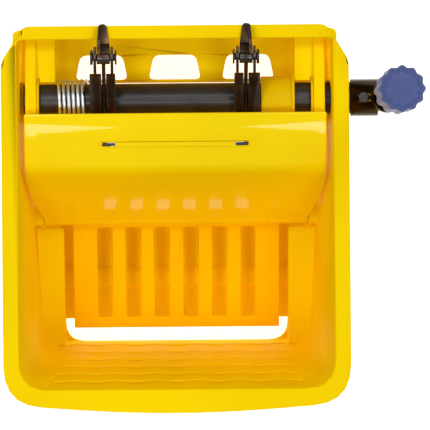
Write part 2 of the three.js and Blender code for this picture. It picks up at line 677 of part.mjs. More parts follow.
// The bracket under the hood that holds a link's pin: a foot against the hood's underside,
// two cheeks, and a tongue that stands in the slit.
function hoodClevis(side) {
  const [, lipLow, kneeStart] = hoodLine(HOOD_WALL + FIT);
  const underZ = (y) => lipLow[1] + (y - lipLow[0]) * HOOD_FACE_SLOPE;
  const back = SLIT_AT + SLIT_DEPTH / 2 - FIT;
  const [pinY, pinZ] = HOOD_PIN;
  const front = kneeStart[0] + FIT;
  const inner = LINK_TAB_THICK / 2 + RUN;
  const outer = inner + CLEVIS_CHEEK;
  const foot = toVectors([
    [front, underZ(front) - CLEVIS_CHEEK],
    [back, underZ(back) - CLEVIS_CHEEK],
    [back, underZ(back)],
    [front, underZ(front)],
  ]);
  const cheek = outline([
    [pinY - CLEVIS_RADIUS, pinZ - CLEVIS_RADIUS, 5],
    [pinY + CLEVIS_RADIUS, pinZ - CLEVIS_RADIUS, 5],
    [pinY + CLEVIS_RADIUS, underZ(pinY + CLEVIS_RADIUS) - 1],
    [front, underZ(front) - 1],
  ]);
  const middle = side * CRANK_MIDDLE;
  const cheeks = [-1, 1].map((hand) => {
    const [near, far] = onSide(hand, inner, outer);
    return drawnAcross(cheek, middle + near, middle + far);
  });
  const tongueMiddle = side * (CRANK_MIDDLE - 4);
  const tongueHalf = SLIT_WIDTH / 2 - FIT;
  const tongueFront = SLIT_AT - SLIT_DEPTH / 2 + FIT;
  const tongue = box(
    tongueMiddle - tongueHalf, tongueMiddle + tongueHalf,
    tongueFront, back, underZ(tongueFront) - 2, underZ(tongueFront) + 3,
  );
  const solid = join(drawnAcross(foot, middle - outer - 3, middle + outer), ...cheeks, tongue);
  return cut(solid, barX(LINK_PIN_RADIUS + FIT, middle - 20, middle + 20, pinY, pinZ, 16));
}

function linkPin(side) {
  const middle = side * CRANK_MIDDLE;
  const half = LINK_TAB_THICK / 2 + RUN + CLEVIS_CHEEK + 1.5;
  return barX(LINK_PIN_RADIUS, middle - half, middle + half, ...HOOD_PIN, 16);
}

// ---------------------------------------------------------------- shaft and its pieces
function ringX(inner, outer, x0, x1, y = 0, z = 0) {
  return barX(outer, x0, x1, y, z).subtract(barX(inner, x0 - 1, x1 + 1, y, z));
}

function shaft() {
  const bar = barX(SHAFT_RADIUS, SHAFT_LEFT, HUB_END - 2 - FIT);
  return bar.subtract(barZ(BOLT_RADIUS + FIT, -SHAFT_RADIUS - 1, SHAFT_RADIUS + 1, BOLT_AT, 0, 16));
}

function bush(side) {
  const bore = SHAFT_RADIUS + FIT;
  const body = ringX(bore, bore + BUSH_WALL, ...onSide(side, PLATE_INNER - 1, PLATE_INNER + PLATE_THICK));
  const flangeFar = PLATE_INNER - FIT;
  const flange = ringX(bore, BUSH_FLANGE_RADIUS, ...onSide(side, flangeFar - BUSH_FLANGE, flangeFar));
  return body.add(flange);
}

function spacerSleeve() {
  const start = CRANK_MIDDLE + LINK_STRAP_OUTER + 1;
  const end = start + SLEEVE_LENGTH;
  const bore = SHAFT_RADIUS + FIT;
  const tube = ringX(bore, bore + SLEEVE_WALL, start, end);
  return tube.add(ringX(bore, bore + SLEEVE_WALL + SLEEVE_FLANGE_RISE, end - SLEEVE_FLANGE, end));
}

class SpringLine extends THREE.Curve {
  getPoint(t, target = new THREE.Vector3()) {
    const angle = t * SPRING_TURNS * 2 * Math.PI;
    const radius = SHAFT_RADIUS + SPRING_GAP + SPRING_WIRE;
    const x = SPRING_LEFT + t * SPRING_LENGTH;
    return target.set(x, radius * Math.sin(angle), radius * Math.cos(angle));
  }
}

function torsionSpring() {
  const section = outline([
    [-SPRING_WIRE, -SPRING_WIRE, SPRING_WIRE],
    [SPRING_WIRE, -SPRING_WIRE, SPRING_WIRE],
    [SPRING_WIRE, SPRING_WIRE, SPRING_WIRE],
    [-SPRING_WIRE, SPRING_WIRE, SPRING_WIRE],
  ], 2).filter((p, i, all) => p.distanceTo(all[(i + 1) % all.length]) > 0.01);
  const steps = SPRING_TURNS * 16;
  const extrudePath = new SpringLine();
  return solidOf(new THREE.ExtrudeGeometry(new THREE.Shape(section), { steps, extrudePath }));
}

// A crank: a hub on the shaft, an arm to its pin, and the horn that rests on the rim.
function crank(side) {
  const middle = side * CRANK_MIDDLE;
  const half = CRANK_THICK / 2;
  const [py, pz] = CRANK_PIN;
  const hub = barX(CRANK_HUB_RADIUS, middle - half, middle + half);
  const aside = new THREE.Vector2(pz, -py).normalize();
  const beside = (y, z, distance) => [y + aside.x * distance, z + aside.y * distance];
  const arm = drawnAcross(toVectors([
    beside(0, 0, CRANK_HUB_RADIUS * 0.95),
    beside(py, pz, CRANK_BOSS_RADIUS * 0.95),
    beside(py, pz, -CRANK_BOSS_RADIUS * 0.95),
    beside(0, 0, -CRANK_HUB_RADIUS * 0.95),
  ]), middle - half, middle + half);
  const bossHalf = CRANK_BOSS_WIDTH / 2;
  const boss = barX(CRANK_BOSS_RADIUS, middle - bossHalf, middle + bossHalf, py, pz, 20);
  const bore = barX(SHAFT_RADIUS + FIT, middle - 9, middle + 9);
  const pinBore = barX(CRANK_PIN_RADIUS + FIT, middle - 9, middle + 9, py, pz, 16);
  return cut(join(hub, arm, boss, horn(side)), bore, pinBore);
}

// The horn is a tapering tongue from the boss back to the rim, with a tall curved edge.
function horn(side) {
  const middle = side * CRANK_MIDDLE;
  const [py, pz] = CRANK_PIN;
  const wide = CRANK_BOSS_WIDTH / 2;
  const rest = RIM_TOP + FIT;
  const tipMiddle = middle + side * HORN_TIP_ASIDE;
  const tipHalf = HORN_TIP_WIDTH / 2;
  const profile = toVectors([
    [py, pz - 1],
    [DECK_BACK - 2, rest],
    [HORN_REACH, rest],
    [HORN_REACH, rest + HORN_THICK],
    [DECK_BACK - 4, rest + HORN_THICK],
    [py, pz + CRANK_BOSS_RADIUS - 1],
  ]);
  const edge = outline([
    [py, pz],
    [DECK_BACK - 2, rest],
    [HORN_REACH, rest],
    [HORN_REACH, rest + HORN_EDGE_RISE, 5],
    [py + 10, pz + 8, 8],
    [py - 4, pz + 4, 3],
  ]);
  const plan = outline([
    [middle - wide, py - 2],
    [middle + wide, py - 2],
    [middle + wide, py + 10, 4],
    [tipMiddle + tipHalf, HORN_REACH, 3],
    [tipMiddle - tipHalf, HORN_REACH, 3],
    [middle - wide, py + 10, 4],
  ]);
  const tongue = drawnAcross(profile, middle - wide, middle + wide);
  const column = raised(plan, 0, 2 * RIM_TOP);
  const inner = plan.map((p) => new THREE.Vector2(p.x - side * HORN_THICK, p.y));
  const tall = drawnAcross(edge, middle - wide, middle + wide).intersect(column);
  return join(tongue.intersect(column), tall.subtract(raised(inner, 0, 2 * RIM_TOP + 1)));
}

function crankPin(side) {
  const middle = side * CRANK_MIDDLE;
  const half = CRANK_BOSS_WIDTH / 2 + RUN + LINK_EAR_THICK + RUN;
  const [py, pz] = CRANK_PIN;
  const far = half + CRANK_PIN_HEAD_THICK;
  const shank = barX(CRANK_PIN_RADIUS, middle - far, middle + far, py, pz, 20);
  const head = barX(CRANK_PIN_HEAD, ...onSide(side, side * middle + half, side * middle + far), py, pz, 24);
  return shank.add(head);
}

function crankPinClip(side) {
  const half = CRANK_BOSS_WIDTH / 2 + RUN + LINK_EAR_THICK + RUN;
  const near = CRANK_MIDDLE - half - CRANK_PIN_HEAD_THICK;
  const [py, pz] = CRANK_PIN;
  const ring = ringX(CRANK_PIN_RADIUS + FIT, CRANK_PIN_HEAD, ...onSide(side, near, near + 1.6), py, pz);
  const [x0, x1] = onSide(side, near - 1, near + 3);
  return ring.subtract(box(x0, x1, py - 1.8, py + 1.8, pz - 9, pz));
}

// ---------------------------------------------------------------- links
const LINK_VECTOR = new THREE.Vector2(HOOD_PIN[0] - CRANK_PIN[0], HOOD_PIN[1] - CRANK_PIN[1]);
const LINK_LENGTH = LINK_VECTOR.length();

// A point of the link, by its distance along it from the crank pin and up across it.
function linkPoint([along, up]) {
  const dir = LINK_VECTOR.clone().normalize();
  const normal = new THREE.Vector2(dir.y, -dir.x);
  return new THREE.Vector2(
    CRANK_PIN[0] + dir.x * along + normal.x * up,
    CRANK_PIN[1] + dir.y * along + normal.y * up,
  );
}

function linkProfile(corners, x0, x1) {
  const points = outline(corners, 4).map((p) => linkPoint([p.x, p.y])).reverse();
  return drawnAcross(points, x0, x1);
}

function link(side) {
  const middle = side * CRANK_MIDDLE;
  const half = LINK_STRAP_THICK / 2;
  const earIn = CRANK_BOSS_WIDTH / 2 + RUN;
  const earOut = earIn + LINK_EAR_THICK;
  const r = LINK_EAR_RADIUS;
  const earEnd = LINK_STRAP_START + 6;
  const ear = [[-r, -r, 6], [r, -r, 4], [earEnd, -half], [earEnd, half], [r, r, 4], [-r, r, 6]];
  const strap = [
    [LINK_STRAP_START, -half], [LINK_STRAP_END, -half], [LINK_STRAP_END, half], [LINK_STRAP_START, half],
  ];
  const bridge = strap.map(([along, up]) => [Math.max(along, LINK_STRAP_END - 8), up]);
  const slot = [
    [LINK_LENGTH - LINK_SLOT_BACK, -LINK_SLOT_DOWN, 3],
    [LINK_LENGTH + LINK_SLOT_FRONT, -LINK_SLOT_DOWN, 3],
    [LINK_LENGTH + LINK_SLOT_FRONT, LINK_SLOT_UP, 3],
    [LINK_LENGTH - LINK_SLOT_BACK, LINK_SLOT_UP, 3],
  ];
  const tabFront = LINK_LENGTH + LINK_SLOT_FRONT + LINK_TAB_RIM;
  const tabBack = LINK_LENGTH - LINK_SLOT_BACK - LINK_TAB_RIM;
  const tabLow = -LINK_SLOT_DOWN - LINK_TAB_RIM;
  const tabHigh = LINK_SLOT_UP + LINK_TAB_RIM;
  const tab = [
    [LINK_STRAP_END - 8, -half],
    [tabBack, -half - 4],
    [tabBack, tabLow, 5],
    [tabFront, tabLow, 6],
    [tabFront, tabHigh, 6],
    [tabBack, tabHigh, 4],
    [LINK_STRAP_END - 8, half],
  ];
  const outerSide = side * LINK_STRAP_OUTER;
  const innerSide = -side * LINK_STRAP_INNER;
  const [o0, o1] = side > 0 ? [LINK_GAP, outerSide] : [outerSide, -LINK_GAP];
  const [i0, i1] = side > 0 ? [innerSide, -LINK_GAP] : [LINK_GAP, innerSide];
  const tabHalf = LINK_TAB_THICK / 2;
  return join(
    linkProfile(ear, middle + earIn, middle + earOut),
    linkProfile(ear, middle - earOut, middle - earIn),
    linkProfile(strap, middle + o0, middle + o1),
    linkProfile(strap, middle + i0, middle + i1),
    linkProfile(bridge, middle - LINK_GAP - 1, middle + LINK_GAP + 1),
    linkProfile(tab, middle - tabHalf, middle + tabHalf),
  ).subtract(linkProfile(slot, middle - 9, middle + 9)).subtract(
    barX(CRANK_PIN_RADIUS + RUN, middle - 20, middle + 20, ...CRANK_PIN, 16),
  );
}

// ---------------------------------------------------------------- handle
function handleSocket() {
  const bore = SHAFT_RADIUS + FIT;
  const hub = barX(bore + HUB_WALL, HUB_START, HUB_END + 4);
  const collarRadius = TUBE_RADIUS + FIT + COLLAR_WALL;
  const collar = barZ(collarRadius, COLLAR_BOTTOM, COLLAR_TOP, HANDLE_AT, 0);
  const inside = [
    barX(bore, HUB_START - 1, HUB_END - 2),
    barZ(TUBE_RADIUS + FIT, TUBE_BOTTOM - FIT, COLLAR_TOP + 1, HANDLE_AT, 0),
    barZ(BOLT_RADIUS + FIT, -40, 40, BOLT_AT, 0, 16),
  ];
  return cut(join(hub, collar), ...inside);
}

function handleTube() {
  const outer = barZ(TUBE_RADIUS, TUBE_BOTTOM, TUBE_TOP, HANDLE_AT, 0);
  return outer.subtract(barZ(TUBE_RADIUS - TUBE_WALL, TUBE_BOTTOM - 1, TUBE_TOP + 1, HANDLE_AT, 0));
}

function grip() {
  const sides = GRIP_LOBES * 6;
  const section = (shrink) => Array.from({ length: sides }, (_, i) => {
    const angle = (i / sides) * 2 * Math.PI;
    const radius = GRIP_RADIUS - shrink + GRIP_LOBE_DEPTH * Math.cos(GRIP_LOBES * angle);
    return new THREE.Vector2(HANDLE_AT + radius * Math.cos(angle), radius * Math.sin(angle));
  });
  const cap = 5;
  const body = raised(section(0), GRIP_BOTTOM, GRIP_TOP - cap);
  const top = loft(section(0), GRIP_TOP - cap - 0.01, section(cap), GRIP_TOP);
  const bore = barZ(TUBE_RADIUS + FIT, GRIP_BOTTOM - 1, TUBE_TOP + FIT, HANDLE_AT, 0);
  return cut(join(body, top), bore);
}

function socketBolt() {
  const seat = SHAFT_RADIUS + FIT + HUB_WALL + FIT;
  const shank = barZ(BOLT_RADIUS, -seat - NUT_THICK - 2, seat + 1, BOLT_AT, 0, 16);
  return shank.add(barZ(BOLT_HEAD_RADIUS, seat, seat + BOLT_HEAD_THICK, BOLT_AT, 0, 16));
}

function socketNut() {
  const seat = -(SHAFT_RADIUS + FIT + HUB_WALL + FIT);
  const nut = barZ(NUT_RADIUS, seat - NUT_THICK, seat, BOLT_AT, 0, 6);
  return nut.subtract(barZ(BOLT_RADIUS + FIT, seat - NUT_THICK - 1, seat + 1, BOLT_AT, 0, 16));
}

// ---------------------------------------------------------------- the whole
addPiece('housing', housing(), materials.tub);
addPiece('strainer_grate', strainerGrate(), materials.grate);
addPiece('press_hood', pressHood(), materials.hood);
addPiece('shaft', shaft(), materials.blackSteel);
addPiece('spacer_sleeve', spacerSleeve(), materials.bush);
addPiece('torsion_spring', torsionSpring(), materials.zinc);
for (const [name, side] of SIDES) {
  addPiece(`bush_${name}`, bush(side), materials.bush);
  addPiece(`grate_screw_${name}`, grateScrew(side), materials.zinc);
  addPiece(`hood_pivot_pin_${name}`, pivotPin(side), materials.zinc);
  addPiece(`hood_clevis_${name}`, hoodClevis(side), materials.blackSteel);
  addPiece(`link_pin_${name}`, linkPin(side), materials.zinc);
  addPiece(`crank_${name}`, crank(side), materials.plate);
  addPiece(`crank_pin_${name}`, crankPin(side), materials.blackSteel);
  addPiece(`crank_pin_clip_${name}`, crankPinClip(side), materials.blackSteel);
  addPiece(`link_${name}`, link(side), materials.plate);
}
addPiece('handle_socket', handleSocket(), materials.chrome);
addPiece('handle_tube', handleTube(), materials.chrome);
addPiece('grip', grip(), materials.grip);
addPiece('socket_bolt', socketBolt(), materials.blackSteel);
addPiece('socket_nut', socketNut(), materials.blackSteel);

// The origin is the middle of the whole wringer's bounding box, on the ground.
const bounds = new THREE.Box3().setFromObject(wringer);
const centre = bounds.getCenter(new THREE.Vector3());
wringer.position.set(-centre.x, -centre.y, -bounds.min.z);
const part = new THREE.Group();
part.add(wringer);

export default part;
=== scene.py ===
"""A mop wringer: a yellow tub with a press hood, a slatted grate, a cross shaft and a handle."""

import json
import math

import bpy
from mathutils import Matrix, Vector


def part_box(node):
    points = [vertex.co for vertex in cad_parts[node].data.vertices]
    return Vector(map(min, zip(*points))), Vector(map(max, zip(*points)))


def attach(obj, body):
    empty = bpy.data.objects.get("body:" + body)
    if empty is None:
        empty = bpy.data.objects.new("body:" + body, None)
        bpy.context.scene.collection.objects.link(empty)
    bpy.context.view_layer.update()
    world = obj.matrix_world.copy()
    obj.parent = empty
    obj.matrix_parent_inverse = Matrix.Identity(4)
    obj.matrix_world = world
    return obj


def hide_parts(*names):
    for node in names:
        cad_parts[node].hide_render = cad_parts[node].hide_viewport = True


bl_info = {
    "name": "Mop wringer",
    "version": (1, 0, 0),
    "blender": (4, 5, 0),
    "location": "View3D > Sidebar > Wringer",
    "description": "Finishes the pieces of a mop wringer and sets its studio",
    "category": "Object",
}

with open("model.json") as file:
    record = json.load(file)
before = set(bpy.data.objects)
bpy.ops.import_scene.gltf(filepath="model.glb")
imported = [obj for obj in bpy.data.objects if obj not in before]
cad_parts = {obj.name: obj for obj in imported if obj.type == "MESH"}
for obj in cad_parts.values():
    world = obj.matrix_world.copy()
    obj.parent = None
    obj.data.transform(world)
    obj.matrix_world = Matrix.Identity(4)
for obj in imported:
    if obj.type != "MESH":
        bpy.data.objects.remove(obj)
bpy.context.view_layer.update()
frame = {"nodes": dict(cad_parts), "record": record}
TUB_LOW, TUB_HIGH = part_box("housing")
SHAFT_LOW, SHAFT_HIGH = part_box("shaft")
SPRING_LOW, SPRING_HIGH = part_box("torsion_spring")
MM = 0.001
SIDES = ("left", "right")
TUB_MIDDLE_X = (TUB_LOW.x + TUB_HIGH.x) / 2
SHAFT_Y = (SHAFT_LOW.y + SHAFT_HIGH.y) / 2
SHAFT_Z = (SHAFT_LOW.z + SHAFT_HIGH.z) / 2


# ------------------------------------------------------------------ sizes and colours
def colour(label, text, value):
    return bpy.props.FloatVectorProperty(
        name=label, description=text, default=value, subtype="COLOR", min=0, max=1
    )


def length(label, text, value):
    return bpy.props.FloatProperty(
        name=label, description=text, default=value, subtype="DISTANCE", unit="LENGTH"
    )


class WringerColours(bpy.types.PropertyGroup):
    tub: colour("Tub", "Colour of the moulded tub", (0.88, 0.64, 0.0004))
    grate: colour("Grate", "Colour of the slatted grate", (0.88, 0.5, 0.0004))
    hood: colour("Hood", "Colour of the press hood", (0.88, 0.67, 0.0004))
    bush: colour("Bushes", "Colour of the bushes and the sleeve", (0.72, 0.5, 0.001))
    grip: colour("Grip", "Colour of the handle's grip", (0.042, 0.068, 0.235))
    shaft: colour("Shaft", "Colour of the enamelled shaft", (0.012, 0.01, 0.01))
    lever: colour("Levers", "Colour of the oiled steel levers", (0.045, 0.022, 0.01))
    # The glow colour is painted light: the plastic gives off this orange light of its own, which
    # lifts its shadows.
    painted_glow: colour("Glow", "Light that the yellow plastic passes on in its shadows", (1, 0.42, 0))
    zinc: colour("Zinc", "Colour of the zinc plated pieces", (0.8, 0.85, 0.86))
    # The plated colour is a painted reflection: its dark brown stands in for the yellow tub and
    # the dark studio seen in the handle's plating.
    plated: colour("Plated", "Colour of the bright plated handle", (0.026, 0.013, 0.003))


class WringerSizes(bpy.types.PropertyGroup):
    tub_edge: length("Tub edge", "Rounding of the tub's edges", 1.3 * MM)
    hood_edge: length("Hood edge", "Rounding of the hood's edges", 1.1 * MM)
    grate_edge: length("Grate edge", "Rounding of the grate's edges", 0.9 * MM)
    steel_edge: length("Steel edge", "Rounding of the steel pieces", 0.35 * MM)
    wave_pitch: length("Wave pitch", "Length of one wave of the front wall's ribs", 37 * MM)
    wave_swing: length("Wave swing", "How far each rib swings up and down", 5 * MM)
    wave_rise: length("Wave rise", "How far the ribs stand out of the wall", 0.5 * MM)
    wave_rows: bpy.props.IntProperty(
        name="Wave rows", description="Number of ribs up the wall", default=6, min=1
    )


class WringerStudio(bpy.types.PropertyGroup):
    camera_height: length("Camera height", "Height over the tub's rim", 4.8)
    camera_lens: bpy.props.FloatProperty(
        name="Lens", description="Focal length in millimetres", default=451.5, min=1
    )
    camera_shift: bpy.props.FloatProperty(
        name="Shift", description="Sideways shift of the lens", default=0.0907
    )
    camera_roll: bpy.props.FloatProperty(
        name="Roll", description="Turn of the picture", default=math.radians(-0.5),
        subtype="ANGLE", unit="ROTATION",
    )
    camera_behind_shaft: length("Camera place", "Camera's distance in front of the shaft", 0.104)
    sky: bpy.props.FloatProperty(
        name="Sky", description="Brightness of the studio's walls", default=0.3, min=0
    )
    lamp: bpy.props.FloatProperty(
        name="Lamp", description="Power of each softbox in watts", default=14, min=0
    )


# ------------------------------------------------------------------ materials
PAINTED_GLOW_STRENGTH = 0.125               # painted glow: the plastic's own orange light, which lifts its shadows as if light passed through it
PLASTIC_SHINE = 0.015               # of the plastic itself, under its coat
PLASTIC_COAT_ROUGHNESS = 0.03
PEEL_DEPTH = 0.05 * MM              # orange peel and scuffs
BARE_STEEL = (0.17, 0.17, 0.175)    # where the levers' edges are rubbed


class Shader:
    """A Principled material whose patterns read the piece's own coordinates."""

    def __init__(self, name, base, roughness, metallic=0.0):
        self.material = bpy.data.materials.new(name)
        self.material.use_nodes = True
        self.tree = self.material.node_tree
        self.shader = self.tree.nodes["Principled BSDF"]
        self.set("Base Color", (*base, 1))
        self.set("Roughness", roughness)
        self.set("Metallic", metallic)
        self.place = self.node("ShaderNodeTexCoord").outputs["Object"]

    def node(self, kind, **settings):
        made = self.tree.nodes.new(kind)
        for key, value in settings.items():
            setattr(made, key, value)
        return made

    def set(self, socket, value):
        self.shader.inputs[socket].default_value = value

    def link(self, output, target):
        self.tree.links.new(output, target)

    def drive(self, socket, output):
        self.link(output, self.shader.inputs[socket])

    def noise(self, scale, detail=3, stretch=(1, 1, 1)):
        mapping = self.node("ShaderNodeMapping")
        mapping.inputs["Scale"].default_value = stretch
        self.link(self.place, mapping.inputs["Vector"])
        noise = self.node("ShaderNodeTexNoise")
        noise.inputs["Scale"].default_value = scale
        noise.inputs["Detail"].default_value = detail
        self.link(mapping.outputs["Vector"], noise.inputs["Vector"])
        return noise.outputs["Fac"]

    def spread(self, value, low, high, start=0.35, end=0.65):
        ranged = self.node("ShaderNodeMapRange")
        ranged.inputs["From Min"].default_value = start
        ranged.inputs["From Max"].default_value = end
        ranged.inputs["To Min"].default_value = low
        ranged.inputs["To Max"].default_value = high
        self.link(value, ranged.inputs["Value"])
        return ranged.outputs["Result"]

    def mix(self, factor, first, second):
        mixed = self.node("ShaderNodeMix", data_type="RGBA")
        self.link(factor, mixed.inputs["Factor"])
        for socket, value in ((mixed.inputs[6], first), (mixed.inputs[7], second)):
            if isinstance(value, tuple):
                socket.default_value = (*value[:3], 1)
            else:
                self.link(value, socket)
        return mixed.outputs[2]

    def bump(self, height, distance, strength=1.0, under=None):
        bump = self.node("ShaderNodeBump")
        bump.inputs["Distance"].default_value = distance
        bump.inputs["Strength"].default_value = strength
        self.link(height, bump.inputs["Height"])
        if under is not None:
            self.link(under, bump.inputs["Normal"])
        return bump.outputs["Normal"]


def shade(base, factor):
    return tuple(min(1.0, c * factor) for c in base)


def moulded_plastic(name, base, painted_glow, roughness, coat):
    """Glossy plastic: slow colour drift, a faint orange peel, rubbed corners, fine scuffs and a
    painted orange glow that lifts its shadows.
    """
    shader = Shader(name, base, roughness)
    drift = shader.spread(shader.noise(7, 2), 0.0, 1.0)
    body = shader.mix(drift, shade(base, 0.94), shade(base, 1.04))
    corner = shader.node("ShaderNodeNewGeometry").outputs["Pointiness"]
    rubbed = shader.spread(corner, 0.0, 0.35, 0.52, 0.6)
    pale = (min(1, base[0] * 1.03), min(1, base[1] * 1.12), base[2] * 3)
    shader.drive("Base Color", shader.mix(rubbed, body, pale))
    smear = shader.noise(55, 4, (1, 0.25, 1))
    shader.drive("Roughness", shader.spread(smear, roughness * 0.9, roughness * 1.15))
    peel = shader.bump(shader.noise(420, 2), PEEL_DEPTH, 0.5)
    scuff = shader.bump(shader.noise(90, 6, (1, 0.06, 0.4)), PEEL_DEPTH, 0.15, peel)
    shader.drive("Normal", scuff)
    shader.set("Coat Weight", coat)
    shader.set("Coat Roughness", PLASTIC_COAT_ROUGHNESS)
    shader.set("Specular IOR Level", PLASTIC_SHINE)
    # Painted glow: the plastic gives off orange light of its own, which lifts its shadows.
    shader.set("Emission Color", (*painted_glow, 1))
    shader.set("Emission Strength", PAINTED_GLOW_STRENGTH)
    return shader.material


def enamelled_steel(name, base):
    """Black enamel: a soft coat over a slightly uneven ground."""
    shader = Shader(name, base, 0.22, 0.2)
    drift = shader.spread(shader.noise(30, 4), 0.0, 1.0)
    mixed = shader.mix(drift, shade(base, 0.7), shade(base, 1.8))
    shader.drive("Base Color", mixed)
    shader.drive("Roughness", shader.spread(shader.noise(80, 4), 0.4, 0.5))
    peel = shader.bump(shader.noise(300, 2), 0.04 * MM, 0.4)
    shader.drive("Normal", peel)
    shader.set("Coat Weight", 0.3)
    shader.set("Coat Roughness", 0.36)
    return shader.material


def oiled_steel(name, base):
    """Dark rolled steel: brown in the flats, bare and grey where the edges are rubbed."""
    shader = Shader(name, base, 0.32, 0.85)
    blotch = shader.spread(shader.noise(60, 5), 0.0, 1.0)
    body = shader.mix(blotch, shade(base, 0.6), shade(base, 1.7))
    corner = shader.node("ShaderNodeNewGeometry").outputs["Pointiness"]
    bare = shader.spread(corner, 0.0, 0.8, 0.53, 0.62)
    shader.drive("Base Color", shader.mix(bare, body, BARE_STEEL))
    grain = shader.noise(150, 3, (1, 0.15, 1))
    shader.drive("Roughness", shader.spread(grain, 0.24, 0.44))
    shader.drive("Normal", shader.bump(grain, 0.08 * MM, 0.4))
    return shader.material


def plated_steel(name, base, roughness, grain_scale):
    """Bright plating over drawn steel: fine rings of polish and a few dull patches."""
    shader = Shader(name, base, roughness, 1.0)
    patch = shader.spread(shader.noise(35, 4), 0.0, 1.0)
    mixed = shader.mix(patch, shade(base, 0.82), shade(base, 1.15))
    shader.drive("Base Color", mixed)
    polish = shader.noise(grain_scale, 3, (1, 1, 0.1))
    ranged = shader.spread(polish, roughness * 0.7, roughness * 1.5)
    shader.drive("Roughness", ranged)
    shader.drive("Normal", shader.bump(polish, 0.03 * MM, 0.3))
    return shader.material


def grip_plastic(name, base):
    """Satin plastic with a fine spark-eroded grain."""
    shader = Shader(name, base, 0.5)
    drift = shader.spread(shader.noise(24, 3), 0.0, 1.0)
    mixed = shader.mix(drift, shade(base, 0.88), shade(base, 1.12))
    shader.drive("Base Color", mixed)
    shader.drive("Roughness", shader.spread(shader.noise(140, 3), 0.42, 0.6))
    shader.drive("Normal", shader.bump(shader.noise(900, 2), 0.1 * MM, 0.6))
    shader.set("Sheen Weight", 0.08)
    return shader.material


MATERIALS = {}


def make_materials(colours):
    tub, hood, bush = tuple(colours.tub), tuple(colours.hood), tuple(colours.bush)
    # The painted glow, shared by all the yellow plastics.
    painted_glow = tuple(colours.painted_glow)
    MATERIALS["tub"] = moulded_plastic("tub_yellow", tub, painted_glow, 0.5, 0.0)
    MATERIALS["hood"] = moulded_plastic("hood_yellow", hood, painted_glow, 0.2, 0.35)
    MATERIALS["grate"] = moulded_plastic("grate_yellow", tuple(colours.grate), painted_glow, 0.45, 0.02)
    MATERIALS["bush"] = moulded_plastic("bush_yellow", bush, painted_glow, 0.45, 0.02)
    MATERIALS["grip"] = grip_plastic("grip_violet", tuple(colours.grip))
    MATERIALS["black_steel"] = enamelled_steel("shaft_enamel", tuple(colours.shaft))
    MATERIALS["lever_steel"] = oiled_steel("lever_steel", tuple(colours.lever))
    MATERIALS["zinc"] = plated_steel("zinc_plate", tuple(colours.zinc), 0.36, 120)
    # The bright plate's dark brown base is a painted reflection of the yellow tub and the dark
    # studio.
    MATERIALS["chrome_steel"] = plated_steel("plate_painted_reflection", tuple(colours.plated), 0.14, 90)


# ------------------------------------------------------------------ modelling helpers
WELD = 0.02 * MM                    # CAD corners closer than this are one corner
FLAT_ANGLE = math.radians(0.6)      # CAD faces flatter than this are one face
STRAY_SHARE = 0.75                  # of a rounding's width, past which a corner is a stray


def work_on(piece):
    bpy.ops.object.select_all(action="DESELECT")
    piece.select_set(True)
    bpy.context.view_layer.objects.active = piece


def apply_modifier(piece, kind, **settings):
    work_on(piece)
    modifier = piece.modifiers.new(kind.lower(), kind)
    for key, value in settings.items():
        setattr(modifier, key, value)
    bpy.ops.object.modifier_apply(modifier=modifier.name)


def round_edges(piece, width, segments=2, angle=30):
    apply_modifier(
        piece, "BEVEL", width=width, segments=segments, limit_method="ANGLE",
        angle_limit=math.radians(angle), use_clamp_overlap=False, loop_slide=True,
        miter_outer="MITER_ARC",
    )


def shade_smooth(piece, angle=35):
    work_on(piece)
    bpy.ops.object.shade_smooth_by_angle(angle=math.radians(angle))


def settle(piece):
    """Moves the place, turn and scale of a piece into its mesh."""
    work_on(piece)
    bpy.ops.object.transform_apply(location=True, rotation=True, scale=True)


def give(piece, name, body, slot):
    """Names a finished piece, gives it its finish and lets it ride on its body."""
    piece.name = name
    piece.data.name = name
    piece.data.materials.clear()
    piece.data.materials.append(MATERIALS[slot])
    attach(piece, body)
    return piece


def body_of(node):
    return next(b for b, nodes in frame["record"]["behaviour"]["bodies"].items() if node in nodes)


def slot_of(node):
    return next(s["material_slot"] for s in frame["record"]["subparts"] if s["node"] == node)


def keep_near(piece, solid, reach):
    """Draws any vertex that a corner's rounding threw too far back on to the solid's surface."""
    for vertex in piece.data.vertices:
        found, place, _, _ = solid.closest_point_on_mesh(vertex.co)
        if found and (place - vertex.co).length > reach:
            vertex.co = place


def finished_from(node, name, edge, segments=2, split_faces=False):
    """A welded copy of a CAD node with its corners rounded, which stands for that node."""
    solid = frame["nodes"][node]
    mesh = solid.data.copy()
    piece = bpy.data.objects.new(name, mesh)
    bpy.context.scene.collection.objects.link(piece)
    work_on(piece)
    bpy.ops.object.mode_set(mode="EDIT")
    bpy.ops.mesh.select_all(action="SELECT")
    bpy.ops.mesh.remove_doubles(threshold=WELD)
    bpy.ops.mesh.dissolve_limited(angle_limit=FLAT_ANGLE)
    if split_faces:
        bpy.ops.mesh.quads_convert_to_tris(quad_method="BEAUTY", ngon_method="BEAUTY")
    bpy.ops.object.mode_set(mode="OBJECT")
    if edge > 0:
        round_edges(piece, edge, segments)
        keep_near(piece, solid, edge * STRAY_SHARE)
    shade_smooth(piece)
    give(piece, name, body_of(node), slot_of(node))
    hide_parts(node)
    return piece


# ------------------------------------------------------------------ the tub
FRONT_WALL_LOW = 59.4 * MM          # the wall's foot, behind the rim's front edge
FRONT_WALL_HIGH = 25.4 * MM         # its top
FRONT_WALL_START = 0.016            # of the tub's height, where the wall's face starts
FRONT_WALL_SHARE = 0.96             # of the tub's height, that the face covers
WAVE_HALF_WIDTH = 112 * MM
WAVE_TAPER = 12 * MM                # how much each end draws in towards the floor
WAVE_BAR = 5 * MM                   # width of a rib
WAVE_CUTS = 72
WAVE_THIN = 0.15                    # a rib's fullness between crest and trough
WAVE_CREST = 0.85                   # what a crest adds to it
WAVE_TROUGH = 0.4                   # what a trough adds to it


